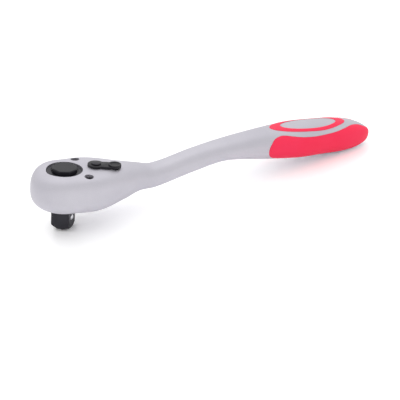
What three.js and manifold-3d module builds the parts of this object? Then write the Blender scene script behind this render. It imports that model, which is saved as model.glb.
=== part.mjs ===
// Offset-handle reversible ratchet with a half-inch square drive and quick release.
// Millimetres. The origin is the centre of the drive square's end face, +Z runs up the
// drive axis through the head, and +X runs along the handle to the butt.

import * as THREE from 'three';
import { mergeVertices } from 'three/addons/utils/BufferGeometryUtils.js';
import Module from 'manifold-3d';

// Clearances
const RUN_GAP = 0.15;
const SEAT_GAP = 0.1;

// Drive square and ratchet wheel
const DRIVE_SQUARE = 12.7;
const DRIVE_LENGTH = 17;
const DRIVE_COLLAR = 1.2;
const DRIVE_REST_ANGLE = 50;
const DRIVE_EDGE_RADIUS = 0.8;
const DRIVE_TIP_CHAMFER = 1.5;
const TOOTH_COUNT = 72;
const WHEEL_RADIUS = 13.6;
const TOOTH_DEPTH = 0.8;
const JOURNAL_RADIUS = 12;
const LOWER_JOURNAL_RADIUS = 10.6;
const JOURNAL_RECESS = 1.1;
const THRUST_WASHER_THICKNESS = 0.8;
const THRUST_WASHER_WIDTH = 1.2;
const DRIVE_SEAL_WIRE = 1.3;
const DRIVE_SEAL_DEPTH = 3.2;

// Quick release
const BUTTON_RADIUS = 8.5;
const BUTTON_RISE = 1.5;
const BUTTON_TRAVEL = 2;
const BUTTON_CHAMFER = 0.7;
const BUTTON_SIDES = 8;
const BUTTON_FLANGE_WIDTH = 0.7;
const BUTTON_FLANGE_THICKNESS = 1.6;
const BUTTON_CROWN_THICKNESS = 2.4;
const BUTTON_WELL_DEPTH = 9.3;
const CIRCLIP_THICKNESS = 1;
const CIRCLIP_BITE = 0.6;
const CIRCLIP_LIP = 0.3;
const CIRCLIP_OPENING = 50;
const PIN_RADIUS = 2;
const PIN_FOOT = 4.6;
const PIN_HOLE_FLOOR = 2.2;
const PIN_GRIP_DEPTH = 1.1;
const RELEASE_SPRING_WIRE = 0.9;
const RELEASE_SPRING_RADIUS = 3.9;
const RELEASE_SPRING_TURNS = 5;
const BALL_RADIUS = 2.6;
const BALL_HEIGHT = 8;
const BALL_PROUD = 0.9;
const BALL_STAKING = 0.45;
const BALL_SEAT_LENGTH = 0.35;

// Head and cover
const HEAD_WIDTH = 44.6;
const HEAD_THICKNESS = 25.4;
const HEAD_STRAIGHT = 19.7;
const BOWL_DEPTH = 1.8;
const HEAD_FORM = { waist: 0.526, upper: 5.2, lower: 3.1 };
const NOSE_FORM = { waist: 0.489, upper: 2.7, lower: 3.1 };
const TOP_WALL = 5.6;
const COVER_THICKNESS = 3;
const COVER_RADIUS = 17.2;
const COVER_TAIL_RADIUS = 7.4;
const COVER_EAR_RADIUS = 3.6;
const SCREW_X = 12.1;
const SCREW_Y = 14.7;
const SCREW_RADIUS = 1.5;
const SCREW_HEAD_RADIUS = 2.75;
const SCREW_HEAD_HEIGHT = 3;
const SCREW_SOCKET_FLATS = 2.5;
const SCREW_SOCKET_DEPTH = 1.6;
const SCREW_SINK = 1.95;
const SCREW_END_INSET = 0.5;

// Reversing lever, spindle and pawl
const SPINDLE_X = 22;
const SPINDLE_RADIUS = 3.7;
const SPINDLE_STEM_RADIUS = 3.2;
const SPINDLE_TANG = 4.2;
const SPINDLE_HEAD_RADIUS = 3.4;
const SPINDLE_HEAD_HEIGHT = 0.8;
const LEVER_REST_ANGLE = -24;
const LEVER_CLEARANCE = 0.3;
const LEVER_THICKNESS = 1.4;
const LEVER_HUB_RADIUS = 5.2;
const LEVER_REACH = 17;
const LEVER_TAIL_RADIUS = 4.4;
const LEVER_WAIST = 4.2;
const LEVER_LIP_HEIGHT = 0.9;
const LEVER_LIP_WIDTH = 5;
const LEVER_SEAL_WIRE = 1.1;
const LEVER_SEAL_DEPTH = 2.9;
const PLUNGER_RADIUS = 1.45;
const PLUNGER_TIP = 4.6;
const PLUNGER_TAIL = 0.6;
const PLUNGER_HOLE_DEPTH = 2.5;
const PAWL_SPRING_WIRE = 0.4;
const PAWL_SPRING_RADIUS = 1;
const PAWL_SPRING_TURNS = 3;
const PAWL_PIVOT_X = 16.8;
const PAWL_ROCK = 5;
const PAWL_SPAN = 43;
const PAWL_RELIEF = 24;
const PAWL_OUTER = 15.8;
const PAWL_BACK_GAP = 0.3;
const PAWL_BACK_SPREAD = 40;
const PAWL_POCKET_GAP = 0.8;
const PAWL_POCKET_LEAD = 5;

// Handle sections, from the head to the butt; the rise is measured from the middle of the head
const SHOULDER_FORM = { waist: 0.5, upper: 2.8, lower: 3 };
const SHOULDER_AT = 40;
const SHOULDER_WIDTH = 30.7;
const SHOULDER_THICKNESS = 22.6;
const SHOULDER_RISE = 1.9;
const HANDLE_FORM = { waist: 0.5, upper: 2.7, lower: 2.7 };
const THROAT_AT = 52;
const THROAT_WIDTH = 22.1;
const THROAT_THICKNESS = 17.9;
const THROAT_RISE = 2.8;
const NECK_AT = 65;
const NECK_WIDTH = 18.5;
const NECK_THICKNESS = 15.4;
const NECK_RISE = 2.6;
const CRANK_AT = 95;
const CRANK_WIDTH = 18;
const CRANK_THICKNESS = 14.8;
const CRANK_RISE = 11.2;
const SHANK_AT = 118;
const SHANK_WIDTH = 20.3;
const SHANK_THICKNESS = 13.9;
const SHANK_RISE = 16.6;
const HANDLE_REACH = 245;
const SWELL_FROM_BUTT = 93;
const SWELL_WIDTH = 26;
const SWELL_THICKNESS = 21.3;
const SWELL_RISE = 18.5;
const GRIP_FROM_BUTT = 68;
const GRIP_WIDTH = 32.6;
const GRIP_THICKNESS = 23.7;
const GRIP_RISE = 19.3;
const BUTT_LENGTH = 40;
const BUTT_WIDTH = 28.6;
const BUTT_THICKNESS = 24.1;
const BUTT_RISE = 19.9;
const BUTT_ROUNDNESS = 2.2;

// Soft grip inlays
const INLAY_DEPTH = 1.4;
const INLAY_PROUD = 0.25;
const INLAY_LAND = 2;
const PANEL_LENGTH = 95;
const PANEL_SPINE = 4.5;
const OVAL_FROM_BUTT = 56;
const OVAL_LENGTH = 64;
const OVAL_WIDTH = 23;
const OVAL_BAND_FRONT = 10.5;
const OVAL_BAND_REAR = 6.5;
const OVAL_BAND_SIDE = 2.5;

// Fineness of the facets
const ROUND_STEPS = 36;
const SMALL_STEPS = 16;
const WIRE_STEPS = 6;
const PANEL_STEPS = 54;
const RING_STEPS = 7;
const NOSE_STEPS = 12;
const STATION_STEP = 8;
const BUTT_STEPS = 7;
const OVERLAP = 1;

// Levels worked out from the sizes above
const HEAD_BOTTOM = DRIVE_LENGTH;
const HEAD_TOP = HEAD_BOTTOM + HEAD_THICKNESS;
const FORGED_THICKNESS = HEAD_THICKNESS + BOWL_DEPTH;
const HEAD_MIDDLE = HEAD_TOP - FORGED_THICKNESS / 2;
const COVER_TOP = HEAD_BOTTOM + COVER_THICKNESS;
const CAVITY_TOP = HEAD_TOP - TOP_WALL;
const JOURNAL_TOP = HEAD_TOP - JOURNAL_RECESS;
const WHEEL_BOTTOM = COVER_TOP + RUN_GAP;
const WASHER_BOTTOM = CAVITY_TOP - RUN_GAP - THRUST_WASHER_THICKNESS;
const WHEEL_TOP = WASHER_BOTTOM - RUN_GAP;
const WHEEL_BORE = WHEEL_RADIUS + 2 * RUN_GAP;
const JOURNAL_BORE = JOURNAL_RADIUS + RUN_GAP;
const BUTTON_TOP = HEAD_TOP + BUTTON_RISE;
const BUTTON_WELL_FLOOR = JOURNAL_TOP - BUTTON_WELL_DEPTH;
const BUTTON_FLANGE_RADIUS = BUTTON_RADIUS + BUTTON_FLANGE_WIDTH;
const BUTTON_WELL_RADIUS = BUTTON_FLANGE_RADIUS + RUN_GAP;
const CIRCLIP_TOP = JOURNAL_TOP - CIRCLIP_LIP;
const CIRCLIP_BOTTOM = CIRCLIP_TOP - CIRCLIP_THICKNESS;
const BUTTON_FLANGE_TOP = CIRCLIP_BOTTOM - RUN_GAP;
const BUTTON_FLANGE_BOTTOM = BUTTON_FLANGE_TOP - BUTTON_FLANGE_THICKNESS;
const BUTTON_ROOF = BUTTON_TOP - BUTTON_CROWN_THICKNESS;
const PIN_TOP = BUTTON_ROOF + PIN_GRIP_DEPTH;
const BALL_CENTRE = DRIVE_SQUARE / 2 + BALL_PROUD - BALL_RADIUS;
const LEVER_BOTTOM = HEAD_TOP + LEVER_CLEARANCE;
const LEVER_TOP = LEVER_BOTTOM + LEVER_THICKNESS;
const SPINDLE_BOTTOM = COVER_TOP + RUN_GAP;
const SPINDLE_SHOULDER = CAVITY_TOP - RUN_GAP;
const PAWL_TOP = WHEEL_TOP;
const PAWL_MIDDLE = (COVER_TOP + CAVITY_TOP) / 2;
const PAWL_BACK_RADIUS = PLUNGER_TIP + PAWL_BACK_GAP;

const wasm = await Module();
wasm.setup();

const radians = THREE.MathUtils.degToRad;

function polar(radius, degrees) {
  return [radius * Math.cos(radians(degrees)), radius * Math.sin(radians(degrees))];
}

// A closed three.js geometry as a solid that can be joined and cut.
function solid(geometry) {
  const bare = geometry.clone();
  bare.deleteAttribute('normal');
  bare.deleteAttribute('uv');
  const merged = mergeVertices(bare, 1e-4);
  const index = merged.index.array;
  const triVerts = [];
  for (let i = 0; i < index.length; i += 3) {
    const [a, b, c] = [index[i], index[i + 1], index[i + 2]];
    if (a !== b && b !== c && c !== a) triVerts.push(a, b, c);
  }
  return new wasm.Manifold(new wasm.Mesh({
    numProp: 3,
    vertProperties: new Float32Array(merged.attributes.position.array),
    triVerts: new Uint32Array(triVerts),
  }));
}

function piece(name, body, material) {
  const result = body.getMesh();
  const geometry = new THREE.BufferGeometry();
  geometry.setAttribute('position', new THREE.BufferAttribute(new Float32Array(result.vertProperties), 3));
  geometry.setIndex(new THREE.BufferAttribute(new Uint32Array(result.triVerts), 1));
  geometry.computeVertexNormals();
  const mesh = new THREE.Mesh(geometry, material);
  mesh.name = name;
  return mesh;
}

// Basic shapes
function cylinder(radius, low, high, x = 0, y = 0, steps = ROUND_STEPS, upperRadius = radius) {
  const geometry = new THREE.CylinderGeometry(upperRadius, radius, high - low, steps);
  geometry.rotateX(Math.PI / 2);
  geometry.translate(x, y, (low + high) / 2);
  return solid(geometry);
}

function turned(profile, steps = ROUND_STEPS) {
  const points = profile.map(([radius, height]) => new THREE.Vector2(radius, height));
  const geometry = new THREE.LatheGeometry(points, steps);
  geometry.rotateX(Math.PI / 2);
  return solid(geometry);
}

function prism(outline, low, high) {
  const shape = new THREE.Shape(outline.map(([x, y]) => new THREE.Vector2(x, y)));
  const geometry = new THREE.ExtrudeGeometry(shape, { depth: high - low, bevelEnabled: false });
  geometry.translate(0, 0, low);
  return solid(geometry);
}

function ring(radius, wire, height, steps = ROUND_STEPS) {
  const geometry = new THREE.TorusGeometry(radius, wire / 2, WIRE_STEPS, steps);
  geometry.translate(0, 0, height);
  return solid(geometry);
}

function polygon(radius, sides, turn = 0) {
  return Array.from({ length: sides }, (_, i) => polar(radius, turn + (360 * i) / sides));
}

function square(side, cornerRadius) {
  const outline = [];
  const inset = side / 2 - cornerRadius;
  for (const corner of [45, 135, 225, 315]) {
    const [cx, cy] = polar(inset * Math.SQRT2, corner);
    for (const step of [-45, -22.5, 0, 22.5, 45]) {
      const [dx, dy] = polar(cornerRadius, corner + step);
      outline.push([cx + dx, cy + dy]);
    }
  }
  return outline;
}

// The convex outline around a set of circles, such as a cover plate's pear shape.
function hullOfCircles(circles, steps = ROUND_STEPS) {
  const points = [];
  for (const [cx, cy, radius] of circles) {
    for (const [dx, dy] of polygon(radius, steps)) points.push([cx + dx, cy + dy]);
  }
  points.sort((p, q) => p[0] - q[0] || p[1] - q[1]);
  const turn = (o, p, q) => (p[0] - o[0]) * (q[1] - o[1]) - (p[1] - o[1]) * (q[0] - o[0]);
  const half = (list) => {
    const chain = [];
    for (const point of list) {
      while (chain.length > 1 && turn(chain.at(-2), chain.at(-1), point) <= 1e-6) chain.pop();
      chain.push(point);
    }
    return chain.slice(0, -1);
  };
  return [...half(points), ...half(points.toReversed())];
}

// Moves an anticlockwise outline outwards by a distance.
function grown(outline, distance) {
  return outline.map(([x, y], i) => {
    const [px, py] = outline.at(i - 1);
    const [nx, ny] = outline[(i + 1) % outline.length];
    const length = Math.hypot(nx - px, ny - py);
    return [x + (distance * (ny - py)) / length, y - (distance * (nx - px)) / length];
  });
}

function smoothLoop(points, steps) {
  const curve = new THREE.CatmullRomCurve3(points.map(([x, y]) => new THREE.Vector3(x, y, 0)), true);
  return curve.getPoints(steps).slice(0, -1).map((point) => [point.x, point.y]);
}

// A coil spring along +Z, one unbroken tube, with the least gap between its turns printed.
function coil(name, radius, wire, low, high, turns) {
  const stepsPerTurn = 8;
  const sides = 5;
  const steps = turns * stepsPerTurn;
  const bottom = low + wire / 2;
  const rise = high - wire / 2 - bottom;
  const centres = Array.from({ length: steps + 1 }, (_, i) => {
    const angle = (i / stepsPerTurn) * 2 * Math.PI;
    return new THREE.Vector3(radius * Math.cos(angle), radius * Math.sin(angle), bottom + (rise * i) / steps);
  });
  let gap = Infinity;
  for (let i = 0; i <= steps; i += 1) {
    for (let k = i + stepsPerTurn / 2; k <= steps; k += 1) {
      gap = Math.min(gap, centres[i].distanceTo(centres[k]) - wire);
    }
  }
  console.log(`${name}: least gap between turns ${gap.toFixed(2)} mm`);
  const positions = [];
  const index = [];
  centres.forEach((centre, i) => {
    const angle = (i / stepsPerTurn) * 2 * Math.PI;
    const outward = new THREE.Vector3(Math.cos(angle), Math.sin(angle), 0);
    for (let side = 0; side < sides; side += 1) {
      const [across, up] = polar(wire / 2, (360 * side) / sides);
      positions.push(...centre.clone().addScaledVector(outward, across).add(new THREE.Vector3(0, 0, up)));
    }
  });
  for (let i = 0; i < steps; i += 1) {
    for (let side = 0; side < sides; side += 1) {
      const a = i * sides + side;
      const b = i * sides + ((side + 1) % sides);
      index.push(a, b, a + sides, b, b + sides, a + sides);
    }
  }
  for (let side = 1; side < sides - 1; side += 1) {
    const last = steps * sides;
    index.push(0, side + 1, side, last, last + side, last + side + 1);
  }
  const geometry = new THREE.BufferGeometry();
  geometry.setAttribute('position', new THREE.BufferAttribute(new Float32Array(positions), 3));
  geometry.setIndex(index.toReversed());
  return solid(geometry);
}

// Materials
function finish(color, roughness, metalness) {
  return new THREE.MeshStandardMaterial({ color, roughness, metalness });
}
const satinChrome = finish(0xc8c5cc, 0.45, 0.8);
const blackOxide = finish(0x2c2b30, 0.45, 0.7);
const blackPlastic = finish(0x26262b, 0.5, 0);
const redRubber = finish(0xfb3c5c, 0.6, 0);
const blackRubber = finish(0x161618, 0.8, 0);
const springSteel = finish(0x9a9ba0, 0.35, 0.9);
const polishedSteel = finish(0xd8d9dc, 0.15, 1);
const bronze = finish(0xb08d57, 0.4, 0.9);

// Body sections: flat-topped and bowl-bottomed at the head, an even oval along the handle.
function section(at, width, thickness, rise, form) {
  return { at, width, thickness, rise, ...form };
}
const SWELL_AT = HANDLE_REACH - SWELL_FROM_BUTT;
const GRIP_AT = HANDLE_REACH - GRIP_FROM_BUTT;
const BUTT_AT = HANDLE_REACH - BUTT_LENGTH;
const SECTIONS = [
  section(0, HEAD_WIDTH, FORGED_THICKNESS, 0, HEAD_FORM),
  section(HEAD_STRAIGHT, HEAD_WIDTH, FORGED_THICKNESS, 0, HEAD_FORM),
  section(SHOULDER_AT, SHOULDER_WIDTH, SHOULDER_THICKNESS, SHOULDER_RISE, SHOULDER_FORM),
  section(THROAT_AT, THROAT_WIDTH, THROAT_THICKNESS, THROAT_RISE, HANDLE_FORM),
  section(NECK_AT, NECK_WIDTH, NECK_THICKNESS, NECK_RISE, HANDLE_FORM),
  section(CRANK_AT, CRANK_WIDTH, CRANK_THICKNESS, CRANK_RISE, HANDLE_FORM),
  section(SHANK_AT, SHANK_WIDTH, SHANK_THICKNESS, SHANK_RISE, HANDLE_FORM),
  section(SWELL_AT, SWELL_WIDTH, SWELL_THICKNESS, SWELL_RISE, HANDLE_FORM),
  section(GRIP_AT, GRIP_WIDTH, GRIP_THICKNESS, GRIP_RISE, HANDLE_FORM),
  section(BUTT_AT, BUTT_WIDTH, BUTT_THICKNESS, BUTT_RISE, HANDLE_FORM),
];

// The section at a distance along the handle, on a smooth curve through the listed ones.
function sectionAt(x) {
  const last = SECTIONS.length - 1;
  let k = SECTIONS.findIndex((listed) => listed.at > x) - 1;
  if (k < 0) k = last - 1;
  const [from, to] = [SECTIONS[k], SECTIONS[k + 1]];
  const span = to.at - from.at;
  const t = Math.min(1, (x - from.at) / span);
  const slope = (i, key) => {
    if (i === 0 || i === last) return 0;
    const [before, after] = [SECTIONS[i - 1], SECTIONS[i + 1]];
    return (after[key] - before[key]) / (after.at - before.at);
  };
  const value = (key) => {
    const bend = t * t * (3 - 2 * t);
    const start = slope(k, key) * span * t * (1 - t) * (1 - t);
    const end = slope(k + 1, key) * span * t * t * (t - 1);
    return from[key] + (to[key] - from[key]) * bend + start + end;
  };
  const keys = ['width', 'thickness', 'rise', 'waist', 'upper', 'lower'];
  return Object.fromEntries(keys.map((key) => [key, value(key)]));
}

// The head's section turned about the drive, easing from the form of its flanks to its rounder nose.
function noseAt(angle) {
  const place = sectionAt(0);
  const share = Math.sin(radians(angle - 90)) ** 2;
  for (const key of ['waist', 'upper', 'lower']) place[key] += (NOSE_FORM[key] - place[key]) * share;
  return place;
}

// Half a section's rim, from the middle of its underside to the middle of its top.
function halfRim(place, inset) {
  const halfWidth = place.width / 2 - inset;
  const thickness = place.thickness - 2 * inset;
  const bottom = HEAD_MIDDLE + place.rise - thickness / 2;
  const level = bottom + place.waist * thickness;
  const rim = [];
  for (let step = -RING_STEPS; step <= RING_STEPS; step += 1) {
    const angle = (step / RING_STEPS) * (Math.PI / 2);
    const fullness = step < 0 ? place.lower : place.upper;
    const height = step < 0 ? place.waist * thickness : (1 - place.waist) * thickness;
    const out = Math.abs(Math.cos(angle)) ** (2 / fullness);
    const up = Math.sign(step) * Math.abs(Math.sin(angle)) ** (2 / fullness);
    rim.push([Math.abs(step) === RING_STEPS ? 0 : halfWidth * out, level + height * up]);
  }
  return rim;
}

// The whole outer skin of head and handle as one solid, moved inwards by an inset.
function bodySkin(inset) {
  const positions = [];
  const index = [];
  const vertex = (x, y, z) => positions.push(x, y, z) / 3 - 1;
  const strip = (first, second) => {
    for (let i = 0; i + 1 < first.length; i += 1) {
      index.push(first[i], second[i], first[i + 1], first[i + 1], second[i], second[i + 1]);
    }
  };
  const rimAt = (place, spot) => halfRim(place, inset).map(([out, z]) => vertex(...spot(out), z));

  let previous = null;
  for (let step = 0; step <= NOSE_STEPS; step += 1) {
    const angle = 90 + (180 * step) / NOSE_STEPS;
    const rim = rimAt(noseAt(angle), (out) => polar(out, angle));
    if (previous) strip(previous, rim);
    previous = rim;
  }

  const stations = [];
  for (let x = 0; x < BUTT_AT - STATION_STEP / 2; x += STATION_STEP) stations.push([x, 1]);
  for (let step = 0; step < BUTT_STEPS; step += 1) {
    const along = Math.sin((step / BUTT_STEPS) * (Math.PI / 2));
    const scale = (1 - along ** BUTT_ROUNDNESS) ** (1 / BUTT_ROUNDNESS);
    stations.push([BUTT_AT + along * (BUTT_LENGTH - inset), scale]);
  }
  let left = null;
  let right = null;
  for (const [x, scale] of stations) {
    const place = sectionAt(x);
    place.width *= scale;
    place.thickness *= scale;
    const nextLeft = rimAt(place, (out) => [x, out]);
    const nextRight = rimAt(place, (out) => [x, -out]);
    if (left) {
      strip(nextLeft, left);
      strip(right, nextRight);
    }
    [left, right] = [nextLeft, nextRight];
  }
  const tip = vertex(HANDLE_REACH - inset, 0, HEAD_MIDDLE + BUTT_RISE);
  for (let i = 0; i + 1 < left.length; i += 1) {
    index.push(left[i], left[i + 1], tip, right[i + 1], right[i], tip);
  }
  const geometry = new THREE.BufferGeometry();
  geometry.setAttribute('position', new THREE.BufferAttribute(new Float32Array(positions), 3));
  geometry.setIndex(index);
  return solid(geometry);
}

// Soft inlays let into the grip: a panel on each flank and an oval band on top.
function panelOutline() {
  const back = (fromButt, above) => [HANDLE_REACH - fromButt, HEAD_MIDDLE + GRIP_RISE + above];
  const nose = PANEL_LENGTH;
  return smoothLoop([
    back(nose, -2.7), back(nose - 1.2, -6), back(nose - 4, -8.2), back(nose - 10, -9.1),
    back(72, -9.5), back(55, -9.6), back(36, -9), back(20, -7.4), back(10, -5), back(2, -2),
    back(-3, 1), back(-1, 4.5), back(6, 7), back(13.5, 9.5), back(22, 10.5), back(30.5, 9.6),
    back(41, 7.9), back(54.5, 7), back(67, 7.2), back(nose - 19, 7.9),
    back(nose - 13, 8.4), back(nose - 8.4, 8), back(nose - 3.7, 6), back(nose - 0.8, 1.7),
  ], PANEL_STEPS);
}

function ellipse(middle, halfLength, halfWidth) {
  return polygon(1, ROUND_STEPS).map(([x, y]) => [middle + halfLength * x, halfWidth * y]);
}

const INLAY_LOW = HEAD_MIDDLE + GRIP_RISE;
const INLAY_HIGH = INLAY_LOW + GRIP_THICKNESS;
const OVAL_MIDDLE = HANDLE_REACH - OVAL_FROM_BUTT;

// A panel's prism runs across the handle from the spine outwards, on the side given by its sign.
function panelPrism(side, gap) {
  const inner = PANEL_SPINE - gap;
  const body = prism(grown(panelOutline(), gap), inner, GRIP_WIDTH).rotate([90, 0, 0]);
  const margin = INLAY_LAND - gap;
  const land = ellipse(OVAL_MIDDLE, OVAL_LENGTH / 2 + margin, OVAL_WIDTH / 2 + margin);
  const trimmed = body.subtract(prism(land, INLAY_LOW, INLAY_HIGH));
  return side < 0 ? trimmed : trimmed.mirror([0, 1, 0]);
}

function ovalPrism(gap) {
  const holeShift = (OVAL_BAND_FRONT - OVAL_BAND_REAR) / 2;
  const holeLength = OVAL_LENGTH - OVAL_BAND_FRONT - OVAL_BAND_REAR;
  const holeWidth = OVAL_WIDTH - 2 * OVAL_BAND_SIDE;
  const outer = ellipse(OVAL_MIDDLE, OVAL_LENGTH / 2 + gap, OVAL_WIDTH / 2 + gap);
  const inner = ellipse(OVAL_MIDDLE + holeShift, holeLength / 2 - gap, holeWidth / 2 - gap);
  const hole = prism(inner, INLAY_LOW - OVERLAP, INLAY_HIGH + OVERLAP);
  return prism(outer, INLAY_LOW, INLAY_HIGH).subtract(hole);
}

// Ratchet wheel: an outline of straight-sided teeth, enlarged by a gap where it serves as a cutter.
function wheelOutline(gap) {
  const outline = [];
  const pitch = 360 / TOOTH_COUNT;
  for (let tooth = 0; tooth < TOOTH_COUNT; tooth += 1) {
    outline.push(polar(WHEEL_RADIUS + gap, tooth * pitch));
    outline.push(polar(WHEEL_RADIUS - TOOTH_DEPTH + gap, (tooth + 0.5) * pitch));
  }
  return outline;
}

// Pawl outline in its middle position, and the roomier pocket that it rocks in.
function pawlOutline() {
  const outline = [];
  const back = (degrees) => {
    const [x, y] = polar(PAWL_BACK_RADIUS, 180 - degrees);
    return [SPINDLE_X + x, y];
  };
  for (let step = -6; step <= 6; step += 1) outline.push(back((PAWL_BACK_SPREAD * step) / 6));
  outline.push(polar(PAWL_OUTER, PAWL_SPAN));
  const toothed = WHEEL_RADIUS - TOOTH_DEPTH + 2 * RUN_GAP;
  const relieved = WHEEL_RADIUS + 3 * RUN_GAP;
  const armMiddle = (PAWL_SPAN + PAWL_RELIEF) / 2;
  for (const angle of [PAWL_SPAN, armMiddle, PAWL_RELIEF]) outline.push(polar(toothed, angle));
  for (let step = 4; step >= -4; step -= 1) outline.push(polar(relieved, (PAWL_RELIEF * step) / 4));
  for (const angle of [PAWL_RELIEF, armMiddle, PAWL_SPAN]) outline.push(polar(toothed, -angle));
  outline.push(polar(PAWL_OUTER, -PAWL_SPAN));
  return outline;
}

function pocketOutline() {
  const [, backY] = polar(PAWL_BACK_RADIUS, 180 - PAWL_BACK_SPREAD);
  const corner = [SPINDLE_X - SPINDLE_RADIUS / 2, backY + PAWL_POCKET_GAP];
  const armEnd = polar(PAWL_OUTER + PAWL_POCKET_GAP, PAWL_SPAN + PAWL_POCKET_LEAD);
  const mouth = polar(WHEEL_RADIUS - TOOTH_DEPTH, PAWL_SPAN + PAWL_POCKET_LEAD);
  const upper = [corner, armEnd, mouth];
  return [...upper, [0, 0], ...upper.map(([x, y]) => [x, -y]).toReversed()];
}

function aboutPawlPivot(body, degrees) {
  return body.translate([-PAWL_PIVOT_X, 0, 0]).rotate([0, 0, degrees]).translate([PAWL_PIVOT_X, 0, 0]);
}

function coverOutline() {
  return hullOfCircles([
    [0, 0, COVER_RADIUS],
    [SCREW_X, SCREW_Y, COVER_EAR_RADIUS],
    [SCREW_X, -SCREW_Y, COVER_EAR_RADIUS],
    [SPINDLE_X, 0, COVER_TAIL_RADIUS],
  ]);
}

const BELOW = HEAD_BOTTOM - BOWL_DEPTH - OVERLAP;
const ABOVE = HEAD_TOP + OVERLAP;
const SCREW_SEAT = HEAD_TOP - SCREW_SINK - SCREW_HEAD_HEIGHT - SEAT_GAP;
const SCREW_PLACES = [['cover_screw_left', -SCREW_Y], ['cover_screw_right', SCREW_Y]];
const blank = bodySkin(0).trimByPlane([0, 0, 1], HEAD_BOTTOM);
const innerSkin = bodySkin(INLAY_DEPTH);
const recessSkin = bodySkin(INLAY_DEPTH + SEAT_GAP);
const proudSkin = bodySkin(-INLAY_PROUD);

// Forged body: head, cranked shank and grip in one piece, with the works let in from below.
function ratchetBody() {
  let body = blank;
  body = body.subtract(prism(grown(coverOutline(), SEAT_GAP), BELOW, COVER_TOP));
  body = body.subtract(cylinder(WHEEL_BORE, BELOW, CAVITY_TOP));
  body = body.subtract(prism(pocketOutline(), BELOW, CAVITY_TOP));
  body = body.subtract(cylinder(SPINDLE_RADIUS + RUN_GAP, BELOW, CAVITY_TOP, SPINDLE_X));
  body = body.subtract(cylinder(SPINDLE_STEM_RADIUS + RUN_GAP, BELOW, ABOVE, SPINDLE_X));
  body = body.subtract(cylinder(JOURNAL_BORE, BELOW, ABOVE));
  for (const [, y] of SCREW_PLACES) {
    body = body.subtract(cylinder(SCREW_RADIUS + 2 * SEAT_GAP, BELOW, ABOVE, SCREW_X, y, SMALL_STEPS));
    const counterbore = SCREW_HEAD_RADIUS + 3 * SEAT_GAP;
    body = body.subtract(cylinder(counterbore, SCREW_SEAT, ABOVE, SCREW_X, y, SMALL_STEPS));
  }
  for (const side of [-1, 1]) body = body.subtract(panelPrism(side, SEAT_GAP).subtract(recessSkin));
  return body.subtract(ovalPrism(SEAT_GAP).subtract(recessSkin));
}

function coverPlate() {
  let plate = blank.intersect(prism(coverOutline(), BELOW, COVER_TOP));
  plate = plate.subtract(cylinder(LOWER_JOURNAL_RADIUS + RUN_GAP, BELOW, ABOVE));
  for (const [, y] of SCREW_PLACES) {
    plate = plate.subtract(cylinder(SCREW_RADIUS + SEAT_GAP, BELOW, ABOVE, SCREW_X, y, SMALL_STEPS));
  }
  return plate;
}

function coverScrew(y) {
  const low = HEAD_BOTTOM + SCREW_END_INSET;
  const seat = SCREW_SEAT + SEAT_GAP;
  const top = seat + SCREW_HEAD_HEIGHT;
  const shank = cylinder(SCREW_RADIUS, low, seat + SEAT_GAP, 0, 0, SMALL_STEPS);
  const head = cylinder(SCREW_HEAD_RADIUS, seat, top, 0, 0, SMALL_STEPS);
  const socket = prism(polygon(SCREW_SOCKET_FLATS / Math.sqrt(3), 6), top - SCREW_SOCKET_DEPTH, ABOVE);
  return shank.add(head).subtract(socket).translate([SCREW_X, y, 0]);
}

// Ratchet wheel with its journals and the drive square, in one piece, bored for the quick release.
function driveGear() {
  const tipRadius = DRIVE_SQUARE / Math.SQRT2 - DRIVE_TIP_CHAMFER * 2;
  const flare = DRIVE_SQUARE;
  const root = WHEEL_BOTTOM + OVERLAP;
  const tipCone = turned([
    [0, 0], [tipRadius, 0], [tipRadius + flare, flare], [tipRadius + flare, root], [0, root],
  ]);
  let gear = prism(square(DRIVE_SQUARE, DRIVE_EDGE_RADIUS), 0, root).intersect(tipCone);
  gear = gear.add(cylinder(LOWER_JOURNAL_RADIUS, HEAD_BOTTOM - DRIVE_COLLAR, root));
  gear = gear.add(prism(wheelOutline(0), WHEEL_BOTTOM, WHEEL_TOP));
  gear = gear.add(cylinder(JOURNAL_RADIUS, WHEEL_TOP - OVERLAP, JOURNAL_TOP));
  gear = gear.subtract(cylinder(BUTTON_WELL_RADIUS, BUTTON_WELL_FLOOR, ABOVE));
  const clipGroove = BUTTON_WELL_RADIUS + CIRCLIP_BITE + SEAT_GAP;
  gear = gear.subtract(cylinder(clipGroove, CIRCLIP_BOTTOM - SEAT_GAP, CIRCLIP_TOP + SEAT_GAP));
  gear = gear.subtract(cylinder(PIN_RADIUS + RUN_GAP, PIN_HOLE_FLOOR, ABOVE, 0, 0, SMALL_STEPS));
  const sealHeight = HEAD_TOP - DRIVE_SEAL_DEPTH;
  const grooveHalf = DRIVE_SEAL_WIRE / 2 + SEAT_GAP;
  const grooveOuter = cylinder(JOURNAL_RADIUS + OVERLAP, sealHeight - grooveHalf, sealHeight + grooveHalf);
  const grooveFloor = cylinder(JOURNAL_BORE - SEAT_GAP - DRIVE_SEAL_WIRE, BELOW, ABOVE);
  gear = gear.subtract(grooveOuter.subtract(grooveFloor));
  const seatEnd = BALL_CENTRE + BALL_SEAT_LENGTH;
  const hole = BALL_RADIUS + RUN_GAP;
  const mouth = BALL_RADIUS - BALL_STAKING;
  const face = DRIVE_SQUARE / 2;
  const outside = face + OVERLAP;
  const ballHole = turned([
    [0, 0], [hole, 0], [hole, seatEnd], [mouth, face], [mouth, outside], [0, outside],
  ], SMALL_STEPS);
  return gear.subtract(ballHole.rotate([90, 0, 0]).translate([0, 0, BALL_HEIGHT]));
}

function thrustWasher() {
  const inner = JOURNAL_RADIUS + 2 * RUN_GAP;
  const high = WASHER_BOTTOM + THRUST_WASHER_THICKNESS;
  return cylinder(inner + THRUST_WASHER_WIDTH, WASHER_BOTTOM, high).subtract(cylinder(inner, BELOW, ABOVE));
}

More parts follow.
